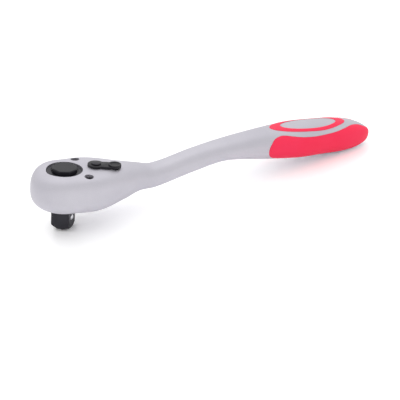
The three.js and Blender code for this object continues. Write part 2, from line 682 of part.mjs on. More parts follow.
function driveSeal() {
  const radius = JOURNAL_BORE - SEAT_GAP / 2 - DRIVE_SEAL_WIRE / 2;
  return ring(radius, DRIVE_SEAL_WIRE, HEAD_TOP - DRIVE_SEAL_DEPTH);
}

// Release button: an eight-sided crown over a round flanged cup.
function releaseButton() {
  const corner = BUTTON_RADIUS / Math.cos(Math.PI / BUTTON_SIDES);
  const rim = BUTTON_TOP - BUTTON_CHAMFER;
  const round = turned([
    [0, BUTTON_FLANGE_BOTTOM], [BUTTON_FLANGE_RADIUS, BUTTON_FLANGE_BOTTOM],
    [BUTTON_FLANGE_RADIUS, BUTTON_FLANGE_TOP], [BUTTON_RADIUS, BUTTON_FLANGE_TOP],
    [BUTTON_RADIUS, BUTTON_TOP], [0, BUTTON_TOP],
  ]);
  const chamfer = cylinder(corner, rim, BUTTON_TOP, 0, 0, BUTTON_SIDES, corner - BUTTON_CHAMFER);
  const keep = cylinder(BUTTON_FLANGE_RADIUS + OVERLAP, BUTTON_FLANGE_BOTTOM - OVERLAP, rim).add(chamfer);
  const springRoom = cylinder(RELEASE_SPRING_RADIUS + RELEASE_SPRING_WIRE, BELOW, BUTTON_ROOF);
  const pinSeat = cylinder(PIN_RADIUS + SEAT_GAP, BELOW, PIN_TOP + SEAT_GAP, 0, 0, SMALL_STEPS);
  return round.intersect(keep).subtract(springRoom).subtract(pinSeat);
}

// Release pin: a waist lets the ball sink when the button is down.
function releasePin() {
  const neck = PIN_RADIUS - BALL_PROUD;
  const rampStart = BALL_HEIGHT - BALL_PROUD + SEAT_GAP;
  const rampEnd = rampStart + BUTTON_TRAVEL + SEAT_GAP;
  const neckEnd = BALL_HEIGHT + BUTTON_TRAVEL + BALL_PROUD;
  const shankStart = neckEnd + BALL_PROUD;
  return turned([
    [0, PIN_FOOT], [PIN_RADIUS, PIN_FOOT], [PIN_RADIUS, rampStart], [neck, rampEnd], [neck, neckEnd],
    [PIN_RADIUS, shankStart], [PIN_RADIUS, PIN_TOP], [0, PIN_TOP],
  ], SMALL_STEPS);
}

function releaseSpring() {
  return coil(
    'release_spring', RELEASE_SPRING_RADIUS, RELEASE_SPRING_WIRE,
    BUTTON_WELL_FLOOR + SEAT_GAP, BUTTON_ROOF - SEAT_GAP, RELEASE_SPRING_TURNS,
  );
}

function buttonCirclip() {
  const outer = BUTTON_WELL_RADIUS + CIRCLIP_BITE;
  const inner = BUTTON_RADIUS + RUN_GAP;
  const clip = cylinder(outer, CIRCLIP_BOTTOM, CIRCLIP_TOP).subtract(cylinder(inner, BELOW, ABOVE));
  const half = CIRCLIP_OPENING / 2;
  const opening = [[0, 0], polar(2 * outer, -half), polar(2 * outer, half)];
  return clip.subtract(prism(opening, BELOW, ABOVE));
}

function detentBall() {
  const geometry = new THREE.SphereGeometry(BALL_RADIUS, SMALL_STEPS, SMALL_STEPS / 2);
  geometry.translate(0, -BALL_CENTRE, BALL_HEIGHT);
  return solid(geometry);
}

// Lever parts stand at the spindle with the lever's tail along +X.
function reversingLever() {
  const tailCentre = LEVER_REACH - LEVER_TAIL_RADIUS;
  const waistAt = (tailCentre - LEVER_TAIL_RADIUS + LEVER_HUB_RADIUS) / 2;
  const outline = [];
  for (let angle = 50; angle <= 310; angle += 13) outline.push(polar(LEVER_HUB_RADIUS, angle));
  outline.push([waistAt, -LEVER_WAIST]);
  for (let angle = -110; angle <= 110; angle += 20) {
    const [x, y] = polar(LEVER_TAIL_RADIUS, angle);
    outline.push([tailCentre + x, y]);
  }
  outline.push([waistAt, LEVER_WAIST]);
  const plate = prism(outline, LEVER_BOTTOM, LEVER_TOP);
  const lip = prism(outline, LEVER_BOTTOM, LEVER_TOP + LEVER_LIP_HEIGHT);
  const lipEnd = lip.trimByPlane([1, 0, 0], LEVER_REACH - LEVER_LIP_WIDTH);
  const tangHole = prism(square(SPINDLE_TANG + 2 * SEAT_GAP, DRIVE_EDGE_RADIUS), BELOW, LEVER_TOP + OVERLAP);
  return plate.add(lipEnd).subtract(tangHole);
}

function leverSpindle() {
  const headLow = LEVER_TOP + SEAT_GAP;
  const sealHeight = HEAD_TOP - LEVER_SEAL_DEPTH;
  const sealHalf = LEVER_SEAL_WIRE / 2 + SEAT_GAP;
  const groove = SPINDLE_STEM_RADIUS + RUN_GAP - SEAT_GAP - LEVER_SEAL_WIRE;
  const dome = SPINDLE_HEAD_RADIUS - SPINDLE_HEAD_HEIGHT / 2;
  const shaft = turned([
    [0, SPINDLE_BOTTOM], [SPINDLE_RADIUS, SPINDLE_BOTTOM], [SPINDLE_RADIUS, SPINDLE_SHOULDER],
    [SPINDLE_STEM_RADIUS, SPINDLE_SHOULDER], [SPINDLE_STEM_RADIUS, sealHeight - sealHalf],
    [groove, sealHeight - sealHalf], [groove, sealHeight + sealHalf],
    [SPINDLE_STEM_RADIUS, sealHeight + sealHalf],
    [SPINDLE_STEM_RADIUS, LEVER_BOTTOM - SEAT_GAP], [0, LEVER_BOTTOM - SEAT_GAP],
  ], SMALL_STEPS);
  const head = turned([
    [0, headLow], [SPINDLE_HEAD_RADIUS, headLow], [SPINDLE_HEAD_RADIUS, headLow + SPINDLE_HEAD_HEIGHT / 2],
    [dome, headLow + SPINDLE_HEAD_HEIGHT], [0, headLow + SPINDLE_HEAD_HEIGHT],
  ], SMALL_STEPS);
  const tangTop = headLow + SPINDLE_HEAD_HEIGHT / 2;
  const tang = prism(square(SPINDLE_TANG, DRIVE_EDGE_RADIUS), LEVER_BOTTOM - OVERLAP, tangTop);
  const holeEnd = SPINDLE_RADIUS + OVERLAP;
  const hole = cylinder(PLUNGER_RADIUS + RUN_GAP, -PLUNGER_HOLE_DEPTH, holeEnd, 0, 0, SMALL_STEPS);
  return shaft.add(tang).add(head).subtract(alongPlunger(hole));
}

// Turns a shape made along +Z so that it points from the spindle to the pawl, at mid height.
function alongPlunger(body) {
  return body.rotate([0, -90, 0]).translate([0, 0, PAWL_MIDDLE]);
}

function leverSeal() {
  const radius = SPINDLE_STEM_RADIUS + RUN_GAP - SEAT_GAP / 2 - LEVER_SEAL_WIRE / 2;
  return ring(radius, LEVER_SEAL_WIRE, HEAD_TOP - LEVER_SEAL_DEPTH, SMALL_STEPS);
}

function pawlPlunger() {
  const profile = [[0, PLUNGER_TAIL], [PLUNGER_RADIUS, PLUNGER_TAIL]];
  for (let angle = 0; angle < 90; angle += 22.5) {
    const [out, up] = polar(PLUNGER_RADIUS, angle);
    profile.push([out, PLUNGER_TIP - PLUNGER_RADIUS + up]);
  }
  profile.push([0, PLUNGER_TIP]);
  return alongPlunger(turned(profile, SMALL_STEPS));
}

function pawlSpring() {
  return alongPlunger(coil(
    'pawl_spring', PAWL_SPRING_RADIUS, PAWL_SPRING_WIRE,
    SEAT_GAP - PLUNGER_HOLE_DEPTH, PLUNGER_TAIL - SEAT_GAP, PAWL_SPRING_TURNS,
  ));
}

// Two-armed pawl, rocked so that its +Y arm is in mesh; its teeth are cut by the wheel itself.
function pawl() {
  const cuts = 5;
  let body = aboutPawlPivot(prism(pawlOutline(), WHEEL_BOTTOM, PAWL_TOP), PAWL_ROCK / 2);
  const cutter = prism(wheelOutline(RUN_GAP), BELOW, ABOVE);
  for (let cut = 0; cut <= cuts; cut += 1) {
    body = body.subtract(aboutPawlPivot(cutter, (PAWL_ROCK * cut) / cuts));
  }
  return body;
}

const ratchet = new THREE.Group();
ratchet.add(piece('ratchet_body', ratchetBody(), satinChrome));
ratchet.add(piece('cover_plate', coverPlate(), satinChrome));
for (const [name, y] of SCREW_PLACES) ratchet.add(piece(name, coverScrew(y), blackOxide));
for (const [name, side] of [['grip_panel_left', -1], ['grip_panel_right', 1]]) {
  ratchet.add(piece(name, proudSkin.intersect(panelPrism(side, 0)).subtract(innerSkin), redRubber));
}
ratchet.add(piece('oval_inlay', proudSkin.intersect(ovalPrism(0)).subtract(innerSkin), redRubber));
ratchet.add(piece('thrust_washer', thrustWasher(), bronze));

const drive = new THREE.Group();
drive.rotation.z = radians(DRIVE_REST_ANGLE);
drive.add(piece('drive_gear', driveGear(), blackOxide));
drive.add(piece('drive_seal', driveSeal(), blackRubber));
drive.add(piece('button_circlip', buttonCirclip(), springSteel));
drive.add(piece('release_spring', releaseSpring(), springSteel));
drive.add(piece('release_button', releaseButton(), blackPlastic));
drive.add(piece('release_pin', releasePin(), springSteel));
drive.add(piece('detent_ball', detentBall(), polishedSteel));
ratchet.add(drive);

const lever = new THREE.Group();
lever.position.x = SPINDLE_X;
lever.rotation.z = radians(LEVER_REST_ANGLE);
lever.add(piece('reversing_lever', reversingLever(), blackPlastic));
lever.add(piece('lever_spindle', leverSpindle(), blackOxide));
lever.add(piece('lever_seal', leverSeal(), blackRubber));
lever.add(piece('pawl_plunger', pawlPlunger(), springSteel));
lever.add(piece('pawl_spring', pawlSpring(), springSteel));
ratchet.add(lever);
ratchet.add(piece('pawl', pawl(), springSteel));

export default ratchet;
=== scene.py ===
# Offset ratchet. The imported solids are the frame, and each visible piece is modelled round them.
# Sizes are written in millimetres and multiplied by MM where they reach Blender.

import math

import bmesh
import bpy
import numpy as np
from mathutils import Matrix, Vector


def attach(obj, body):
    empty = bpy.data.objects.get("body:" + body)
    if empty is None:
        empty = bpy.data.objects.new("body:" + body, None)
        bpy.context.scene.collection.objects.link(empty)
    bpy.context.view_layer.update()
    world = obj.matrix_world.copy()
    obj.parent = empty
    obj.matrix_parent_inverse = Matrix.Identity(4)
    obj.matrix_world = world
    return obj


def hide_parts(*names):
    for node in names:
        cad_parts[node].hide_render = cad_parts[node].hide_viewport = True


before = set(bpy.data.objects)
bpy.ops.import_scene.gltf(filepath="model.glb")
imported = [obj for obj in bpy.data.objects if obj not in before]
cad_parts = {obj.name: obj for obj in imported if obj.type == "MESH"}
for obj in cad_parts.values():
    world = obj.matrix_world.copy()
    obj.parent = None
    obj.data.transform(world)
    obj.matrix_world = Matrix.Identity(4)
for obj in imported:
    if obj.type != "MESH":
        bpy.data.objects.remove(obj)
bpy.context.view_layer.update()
MM = 0.001


# Camera
# The tool lies on its drive and its grip, and is seen from the left, a little above the head.
# The long lens and the small roll are those that line the part up with the photograph.
SHOT_AZIMUTH = math.radians(-28.592)
SHOT_ELEVATION = math.radians(25.808)
SHOT_ROLL = math.radians(6.105)
SHOT_DISTANCE = 624.1 * MM
SHOT_TARGET = Vector((104.226, 0, 6.305)) * MM
PICTURE_SIDE = 400
FOCAL_PIXELS = 850
SENSOR = 36

level = math.cos(SHOT_ELEVATION)
shot_back = Vector((
    math.sin(SHOT_AZIMUTH) * level,
    -math.cos(SHOT_AZIMUTH) * level,
    math.sin(SHOT_ELEVATION),
))
shot_right = Vector((math.cos(SHOT_AZIMUTH), math.sin(SHOT_AZIMUTH), 0))
shot_up = shot_back.cross(shot_right)
rolled_right = shot_right * math.cos(SHOT_ROLL) + shot_up * math.sin(SHOT_ROLL)
rolled_up = shot_up * math.cos(SHOT_ROLL) - shot_right * math.sin(SHOT_ROLL)
bpy.ops.object.select_all(action="DESELECT")
bpy.ops.object.camera_add()
camera = bpy.context.active_object
turn = Matrix((rolled_right, rolled_up, shot_back)).transposed().to_4x4()
camera.matrix_world = Matrix.Translation(SHOT_TARGET + shot_back * SHOT_DISTANCE) @ turn
camera.data.sensor_width = SENSOR
camera.data.lens = FOCAL_PIXELS / PICTURE_SIDE * SENSOR
bpy.context.scene.camera = camera
bpy.context.scene.view_settings.view_transform = "Standard"


# Forged body
# Head, cranked shank and grip are one drop forging in chrome vanadium steel, ground, blasted and plated.
# Its skin is drawn out ring by ring from the head to the butt, and the round nose is spun about the drive.
HEAD_WIDTH = 44.6
HEAD_HEIGHT = 27.2
HEAD_BOTTOM = 17
HEAD_MIDDLE = 28.8
HANDLE_REACH = 245
GRIP_RISE = 19.3
BUTT_LENGTH = 40
BUTT_AT = HANDLE_REACH - BUTT_LENGTH
BUTT_ROUNDNESS = 2.2
RIM_STEPS = 44
RIM_SAMPLES = 401
NOSE_STEPS = 48
BUTT_STEPS = 26
STATION_STEP = 2
# Points nearer than this count as one, and places are compared to this many digits of a metre.
SAME_SPOT = 0.01
KEY_DIGITS = 7
# The form of a section: the height of its widest level, and its squareness above and below that level.
HEAD_FORM = (0.526, 5.2, 3.1)
NECK_FORM = (0.5, 2.8, 3)
GRIP_FORM = (0.5, 2.7, 2.7)
# The nose is rounder than the flanks of the head.
NOSE_FORM = np.array([0.489, 2.7, 3.1])
# Place along the handle, width, thickness, rise above the head's middle, and form.
SECTIONS = np.array([
    (0, HEAD_WIDTH, HEAD_HEIGHT, 0, *HEAD_FORM),
    (19.7, HEAD_WIDTH, HEAD_HEIGHT, 0, *HEAD_FORM),
    (40, 30.7, 22.6, 1.9, *NECK_FORM),
    (52, 22.1, 17.9, 2.8, *GRIP_FORM),
    (65, 18.5, 15.4, 2.6, *GRIP_FORM),
    (95, 18, 14.8, 11.2, *GRIP_FORM),
    (118, 20.3, 13.9, 16.6, *GRIP_FORM),
    (HANDLE_REACH - 93, 26, 21.3, 18.5, *GRIP_FORM),
    (HANDLE_REACH - 68, 32.6, 23.7, GRIP_RISE, *GRIP_FORM),
    (BUTT_AT, 28.6, 24.1, 19.9, *GRIP_FORM),
])


def section_at(x):
    """Width, thickness, rise, waist and squareness at a distance along the handle."""
    last = len(SECTIONS) - 1
    if x >= SECTIONS[last][0]:
        return SECTIONS[last][1:].copy()
    k = int(np.searchsorted(SECTIONS[:, 0], x, side="right")) - 1
    span = SECTIONS[k + 1][0] - SECTIONS[k][0]
    t = (x - SECTIONS[k][0]) / span

    def slope(i):
        if i in (0, last):
            return np.zeros(len(SECTIONS[0]))
        return (SECTIONS[i + 1] - SECTIONS[i - 1]) / (SECTIONS[i + 1][0] - SECTIONS[i - 1][0])

    middle = SECTIONS[k] + (SECTIONS[k + 1] - SECTIONS[k]) * t * t * (3 - 2 * t)
    start = slope(k) * span * t * (1 - t) ** 2
    end = slope(k + 1) * span * t * t * (t - 1)
    return (middle + start + end)[1:]


def half_rim(place, grow):
    """Evenly spaced points of half a section, from the middle of its underside to the middle of its top."""
    width, thickness, rise, waist, upper, lower = place
    half_width = width / 2 + grow
    thickness = thickness + 2 * grow
    widest = HEAD_MIDDLE + rise - thickness / 2 + waist * thickness
    angles = np.linspace(-math.pi / 2, math.pi / 2, RIM_SAMPLES)
    squareness = np.where(angles < 0, lower, upper)
    height = np.where(angles < 0, waist, 1 - waist) * thickness
    out = half_width * np.abs(np.cos(angles)) ** (2 / squareness)
    out[[0, -1]] = 0
    up = widest + height * np.sign(angles) * np.abs(np.sin(angles)) ** (2 / squareness)
    length = np.concatenate([[0], np.cumsum(np.hypot(np.diff(out), np.diff(up)))])
    spots = np.linspace(0, length[-1], RIM_STEPS + 1)
    return np.interp(spots, length, out), np.interp(spots, length, up)


def whole_ring(x, scale, grow):
    """One closed ring of the skin: up the far side of a section and down its near side."""
    place = section_at(x)
    place[:2] *= scale
    out, up = half_rim(place, grow)
    far = [Vector((x, y, z)) * MM for y, z in zip(out, up)]
    near = [Vector((x, -y, z)) * MM for y, z in zip(out[-2:0:-1], up[-2:0:-1])]
    return far + near


def round_nose(mesh, grow):
    """Eases the spun nose from the form of the flanks to its own rounder form at the front."""
    place = section_at(0)
    spun = np.stack(half_rim(place, grow), 1) * MM
    for vert in mesh.verts:
        if vert.co.x > -SAME_SPOT * MM:
            continue
        reach = vert.co.xy.length
        nearest = np.argmin(np.hypot(spun[:, 0] - reach, spun[:, 1] - vert.co.z))
        share = (vert.co.x / reach) ** 2
        eased_place = place.copy()
        eased_place[3:] += (NOSE_FORM - place[3:]) * share
        out, up = half_rim(eased_place, grow)
        vert.co.xy *= out[nearest] * MM / reach
        vert.co.z = up[nearest] * MM


def spot_key(spot):
    """A point's place, rounded so that the copies of a point share it."""
    return tuple(round(c, KEY_DIGITS) for c in spot)


def forged_skin(grow, start):
    """The outer skin moved outwards by a distance, whole with its nose, or from a place on the handle."""
    bpy.ops.object.select_all(action="DESELECT")
    bpy.ops.mesh.primitive_circle_add(vertices=2 * RIM_STEPS, radius=HEAD_WIDTH / 2 * MM)
    skin = bpy.context.active_object
    bpy.ops.object.mode_set(mode="EDIT")
    bpy.context.tool_settings.mesh_select_mode = (True, False, False)
    mesh = bmesh.from_edit_mesh(skin.data)
    mesh.verts.ensure_lookup_table()
    ring = whole_ring(start, 1, grow)
    for vert, spot in zip(mesh.verts, ring):
        vert.co = spot
    bmesh.update_edit_mesh(skin.data)
    bpy.ops.mesh.select_all(action="SELECT")
    stations = [(x, 1) for x in np.arange(start + STATION_STEP, BUTT_AT - STATION_STEP / 2, STATION_STEP)]
    for step in range(BUTT_STEPS + 1):
        along = math.sin(step / BUTT_STEPS * math.pi / 2)
        scale = max(0, 1 - along ** BUTT_ROUNDNESS) ** (1 / BUTT_ROUNDNESS)
        stations.append((BUTT_AT + along * (BUTT_LENGTH + grow), scale))
    for x, scale in stations:
        bpy.ops.mesh.extrude_region_move()
        mesh = bmesh.from_edit_mesh(skin.data)
        order = {spot_key(spot): i for i, spot in enumerate(ring)}
        fresh = [(order[spot_key(vert.co)], vert) for vert in mesh.verts if vert.select]
        ring = whole_ring(x, scale, grow)
        if x > HANDLE_REACH + grow - SAME_SPOT:
            tip = Vector((HANDLE_REACH + grow, 0, HEAD_MIDDLE + SECTIONS[-1][3])) * MM
            ring = [tip] * len(ring)
        for i, vert in fresh:
            vert.co = ring[i]
            ring[i] = vert.co.copy()
        bmesh.update_edit_mesh(skin.data)
    mesh = bmesh.from_edit_mesh(skin.data)
    for vert in mesh.verts:
        on_first = abs(vert.co.x - start * MM) < SAME_SPOT * MM
        vert.select = on_first and (start > 0 or vert.co.y > -SAME_SPOT * MM)
    mesh.select_flush(True)
    mesh.select_flush(False)
    bmesh.update_edit_mesh(skin.data)
    if start > 0:
        bpy.ops.mesh.edge_face_add()
    else:
        bpy.ops.mesh.spin(steps=NOSE_STEPS, angle=-math.pi, center=(0, 0, 0), axis=(0, 0, 1))
        round_nose(bmesh.from_edit_mesh(skin.data), grow)
        bmesh.update_edit_mesh(skin.data)
    bpy.ops.mesh.select_all(action="SELECT")
    bpy.ops.mesh.remove_doubles(threshold=SAME_SPOT * MM)
    bpy.ops.mesh.normals_make_consistent(inside=False)
    bpy.ops.object.mode_set(mode="OBJECT")
    return skin


def plate(outline, low, high):
    """A flat plate with an outline of (x, y) points, between two heights."""
    bpy.ops.object.select_all(action="DESELECT")
    bpy.ops.mesh.primitive_circle_add(vertices=len(outline), fill_type="NGON")
    made = bpy.context.active_object
    bpy.ops.object.mode_set(mode="EDIT")
    mesh = bmesh.from_edit_mesh(made.data)
    mesh.verts.ensure_lookup_table()
    for vert, (x, y) in zip(mesh.verts, outline):
        vert.co = Vector((x, y, low)) * MM
    bmesh.update_edit_mesh(made.data)
    bpy.ops.mesh.select_all(action="SELECT")
    bpy.ops.mesh.extrude_region_move(TRANSFORM_OT_translate={"value": (0, 0, (high - low) * MM)})
    bpy.ops.mesh.select_all(action="SELECT")
    bpy.ops.mesh.normals_make_consistent(inside=False)
    bpy.ops.object.mode_set(mode="OBJECT")
    return made


FINE_SIDES = 128
ROUND_SIDES = 96
SMALL_SIDES = 48
HOLE_SIDES = 32


def round_bar(radius, low, high, x=0, y=0, sides=ROUND_SIDES, top_radius=None):
    """A round bar or a cone along the drive's direction."""
    bpy.ops.object.select_all(action="DESELECT")
    bpy.ops.mesh.primitive_cone_add(
        vertices=sides, radius1=radius * MM, radius2=(top_radius or radius) * MM,
        depth=(high - low) * MM, location=(x * MM, y * MM, (low + high) / 2 * MM),
    )
    bpy.ops.object.transform_apply(location=True, rotation=False, scale=False)
    return bpy.context.active_object


def pick(piece):
    """Selects one piece alone and makes it the active one."""
    bpy.ops.object.select_all(action="DESELECT")
    piece.select_set(True)
    bpy.context.view_layer.objects.active = piece


def cut(body, tool, operation="DIFFERENCE", keep_tool=False):
    """Cuts, joins or trims a piece with another and puts the other away."""
    pick(body)
    step = body.modifiers.new("cut", "BOOLEAN")
    step.operation = operation
    step.solver = "EXACT"
    step.object = tool
    bpy.ops.object.modifier_apply(modifier=step.name)
    if not keep_tool:
        bpy.data.objects.remove(tool)


def twin(piece):
    """A second copy of a piece, with a mesh of its own."""
    pick(piece)
    bpy.ops.object.duplicate()
    return bpy.context.active_object


def linear(code):
    """A hex colour as linear red, green, blue and alpha."""
    channels = [int(code[i:i + 2], 16) / 255 for i in (0, 2, 4)]
    return [c / 12.92 if c <= 0.04045 else ((c + 0.055) / 1.055) ** 2.4 for c in channels] + [1]


def add_node(tree, kind, links, **settings):
    """Adds a node, sets its properties and its sockets, and links sockets to sockets."""
    made = tree.nodes.new(kind)
    for key, value in settings.items():
        setattr(made, key, value)
    for key, value in links.items():
        if isinstance(value, bpy.types.NodeSocket):
            tree.links.new(value, made.inputs[key])
        else:
            made.inputs[key].default_value = value
    return made


# Noise seldom leaves this band, so tones and gloss are spread over it.
NOISE_LOW = 0.3
NOISE_HIGH = 0.7
DRIFT_DETAIL = 3
GRAIN_DETAIL = 4
PLAIN_SHEEN = 0.5


def surface(name, metallic, tones, tone_mm, rough, grain_mm, grain_depth_mm, seed, sheen=PLAIN_SHEEN):
    """A finish with a drift of tone over tone_mm and a fine grain raised by grain_depth_mm."""
    material = bpy.data.materials.new(name)
    material.use_nodes = True
    tree = material.node_tree
    shader = tree.nodes["Principled BSDF"]
    shader.inputs["Metallic"].default_value = metallic
    shader.inputs["Specular IOR Level"].default_value = sheen
    spot = add_node(tree, "ShaderNodeTexCoord", {}).outputs["Object"]
    shifted = add_node(tree, "ShaderNodeMapping", {"Vector": spot, "Location": (seed, 2 * seed, 3 * seed)})
    drift = add_node(tree, "ShaderNodeTexNoise", {
        "Vector": shifted.outputs["Vector"], "Scale": 1 / (tone_mm * MM), "Detail": DRIFT_DETAIL,
    })
    grain = add_node(tree, "ShaderNodeTexNoise", {
        "Vector": shifted.outputs["Vector"], "Scale": 1 / (grain_mm * MM), "Detail": GRAIN_DETAIL,
    })
    colour = add_node(tree, "ShaderNodeValToRGB", {"Fac": drift.outputs["Fac"]})
    for stop, position, tone in zip(colour.color_ramp.elements, (NOISE_LOW, NOISE_HIGH), tones):
        stop.position = position
        stop.color = linear(tone)
    gloss = add_node(tree, "ShaderNodeMapRange", {
        "Value": grain.outputs["Fac"], "From Min": NOISE_LOW, "From Max": NOISE_HIGH,
        "To Min": rough[0], "To Max": rough[1],
    })
    relief = add_node(tree, "ShaderNodeBump", {
        "Height": grain.outputs["Fac"], "Strength": 1, "Distance": grain_depth_mm * MM,
    })
    tree.links.new(colour.outputs["Color"], shader.inputs["Base Color"])
    tree.links.new(gloss.outputs["Result"], shader.inputs["Roughness"])
    tree.links.new(relief.outputs["Normal"], shader.inputs["Normal"])
    return material


# Edges sharper than this angle stay crisp; flat-sided pieces keep a smaller one.
CREASE = 32
FACET_CREASE = 10


def fit(piece, node, body, finish, crease=CREASE):
    """Puts a finished piece in the place of its solid, with its finish and the body that carries it."""
    piece.name = node + "_piece"
    piece.data.name = node + "_piece"
    piece.data.materials.clear()
    piece.data.materials.append(finish)
    pick(piece)
    bpy.ops.object.shade_smooth_by_angle(angle=math.radians(crease))
    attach(piece, body)
    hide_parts(node)


# Satin chrome: blasted before plating, so it is a metal with a soft, even sheen and a faint drift of tone.
# The blasted grain is near 0.1 mm, which is too fine to show, so it is drawn at 0.7 mm.
satin_chrome = surface(
    "satin_chrome_plate", metallic=1, tones=("c4c2ca", "cbc9d0"), tone_mm=30,
    rough=(0.56, 0.64), grain_mm=0.7, grain_depth_mm=0.012, seed=0.1,
)

RUN_GAP = 0.15
SEAT_GAP = 0.1
COVER_TOP = 20
COVER_RADIUS = 17.2
COVER_EAR = 3.6
COVER_END = 7.4
CAVITY_TOP = 36.8
WHEEL_BORE = 13.9
JOURNAL_BORE = 12.15
SPINDLE_X = 22
SPINDLE_RADIUS = 3.7
STEM_RADIUS = 3.2
SCREW_X = 12.1
SCREW_Y = 14.7
SCREW_BORE = 1.7
SCREW_COUNTERBORE = 3.05
SCREW_SEAT = 37.35
POCKET_SIDE = [(20.15, 3.9), (11.1, 12.4), (8.5, 9.5)]
# Cutting tools start below the head, end above it, or run past a face by this much.
BELOW = 14
ABOVE = 50
PAST = 1


def pear(spread, low, high):
    """The cover plate's pear shape: the wheel, the two screw ears and the spindle's end in one outline."""
    lobes = [
        (0, 0, COVER_RADIUS),
        (SCREW_X, SCREW_Y, COVER_EAR),
        (SCREW_X, -SCREW_Y, COVER_EAR),
        (SPINDLE_X, 0, COVER_END),
    ]
    bars = [round_bar(radius + spread, low, high, x, y) for x, y, radius in lobes]
    pick(bars[0])
    for bar in bars:
        bar.select_set(True)
    bpy.ops.object.join()
    bpy.ops.object.mode_set(mode="EDIT")
    bpy.ops.mesh.select_all(action="SELECT")
    bpy.ops.mesh.convex_hull()
    bpy.ops.object.mode_set(mode="OBJECT")
    return bars[0]


body = forged_skin(0, 0)
bpy.ops.object.mode_set(mode="EDIT")
bpy.ops.mesh.select_all(action="SELECT")
bpy.ops.mesh.bisect(
    plane_co=(0, 0, HEAD_BOTTOM * MM), plane_no=(0, 0, 1), clear_inner=True, use_fill=True,
)
bpy.ops.object.mode_set(mode="OBJECT")
cover = twin(body)

pocket = POCKET_SIDE + [(0, 0)] + [(x, -y) for x, y in reversed(POCKET_SIDE)]
cut(body, pear(SEAT_GAP, BELOW, COVER_TOP))
cut(body, round_bar(WHEEL_BORE, BELOW, CAVITY_TOP))
cut(body, plate(pocket, BELOW, CAVITY_TOP))
cut(body, round_bar(SPINDLE_RADIUS + RUN_GAP, BELOW, CAVITY_TOP, SPINDLE_X, sides=SMALL_SIDES))
cut(body, round_bar(STEM_RADIUS + RUN_GAP, BELOW, ABOVE, SPINDLE_X, sides=SMALL_SIDES))
cut(body, round_bar(JOURNAL_BORE, BELOW, ABOVE, sides=FINE_SIDES))
for side in (-1, 1):
    cut(body, round_bar(SCREW_BORE, BELOW, ABOVE, SCREW_X, side * SCREW_Y, HOLE_SIDES))
    cut(body, round_bar(SCREW_COUNTERBORE, SCREW_SEAT, ABOVE, SCREW_X, side * SCREW_Y, SMALL_SIDES))


# Soft grip inlays
# Two flank panels and an oval band, moulded in red thermoplastic rubber into shallow recesses in the grip.
# They follow the grip's own skin and stand a quarter of a millimetre proud of it.
INLAY_DEPTH = 1.4
INLAY_PROUD = 0.25
GRIP_START = 136
GRIP_MIDDLE = HEAD_MIDDLE + GRIP_RISE
PANEL_SPINE = 4.5
PANEL_OUTSIDE = 30
PANEL_STEPS = 160
OVAL_STEPS = 128
OVAL_LOW = GRIP_MIDDLE
OVAL_HIGH = OVAL_LOW + 24
# Distance of the oval's centre from the butt, half length and half width, for its outer and inner edges.
OVAL_OUTER = (56.4, 32.4, 11.5)
OVAL_INNER = (56, 24, 9.05)
# Distance from the butt and height above the grip's middle, round the panel's edge.
PANEL_EDGE = [
    (95, -2.7), (93.8, -6), (91, -8.2), (85, -9.1), (72, -9.5), (55, -9.6), (36, -9), (20, -7.4),
    (10, -5), (2, -2), (-3, 1), (-1, 4.5), (6, 7), (13.5, 9.5), (22, 10.5), (30.5, 9.6),
    (41, 7.9), (54.5, 7), (67, 7.2), (76, 7.9), (82, 8.4), (86.6, 8), (91.3, 6), (94.2, 1.7),
]


def smooth_loop(points, steps):
    """A smooth closed curve through points."""
    points = np.array(points, float)
    count = len(points)
    spots = []
    for step in range(steps):
        along = step / steps * count
        k = int(along)
        t = along - k
        a, b, c, d = (points[(k + i) % count] for i in (-1, 0, 1, 2))
        bend = 2 * b + (c - a) * t + (2 * a - 5 * b + 4 * c - d) * t ** 2 + (3 * b - a - 3 * c + d) * t ** 3
        spots.append(tuple(bend / 2))
    return spots


def grown(outline, distance):
    """An anticlockwise outline moved outwards."""
    moved = []
    for i, (x, y) in enumerate(outline):
        px, py = outline[i - 1]
        nx, ny = outline[(i + 1) % len(outline)]
        length = math.hypot(nx - px, ny - py)
        moved.append((x + distance * (ny - py) / length, y - distance * (nx - px) / length))
    return moved


def settle(piece, turn, spot=(0, 0, 0)):
    """Turns a piece about the origin, moves it to a spot, and makes that its shape."""
    pick(piece)
    piece.rotation_euler = turn
    piece.location = Vector(spot) * MM
    bpy.ops.object.transform_apply(location=True, rotation=True, scale=False)


def panel_block(gap):
    """The panel's outline carried straight out of the left flank."""
    edge = smooth_loop([(HANDLE_REACH - back, GRIP_MIDDLE + up) for back, up in PANEL_EDGE], PANEL_STEPS)
    block = plate(grown(edge, gap), PANEL_SPINE - gap, PANEL_OUTSIDE)
    settle(block, (math.pi / 2, 0, 0))
    return block


def oval_edge(form, gap):
    """One of the oval's two edges, moved outwards by a gap."""
    back, half_length, half_width = form
    middle = HANDLE_REACH - back
    turns = [2 * math.pi * i / OVAL_STEPS for i in range(OVAL_STEPS)]
    return [(middle + (half_length + gap) * math.cos(a), (half_width + gap) * math.sin(a)) for a in turns]


def oval_block(gap):
    """The oval band's outline carried straight up from the grip."""
    block = plate(oval_edge(OVAL_OUTER, gap), OVAL_LOW, OVAL_HIGH)
    cut(block, plate(oval_edge(OVAL_INNER, -gap), OVAL_LOW - PAST, OVAL_HIGH + PAST))
    return block


def mirrored(piece):
    """The same piece on the other side of the handle."""
    other = twin(piece)
    other.scale = (1, -1, 1)
    bpy.ops.object.transform_apply(location=False, rotation=False, scale=True)
    bpy.ops.object.mode_set(mode="EDIT")
    bpy.ops.mesh.select_all(action="SELECT")
    bpy.ops.mesh.normals_make_consistent(inside=False)
    bpy.ops.object.mode_set(mode="OBJECT")
    return other


recess_skin = forged_skin(-INLAY_DEPTH - SEAT_GAP, GRIP_START)
inner_skin = forged_skin(-INLAY_DEPTH, GRIP_START)
proud_skin = forged_skin(INLAY_PROUD, GRIP_START)

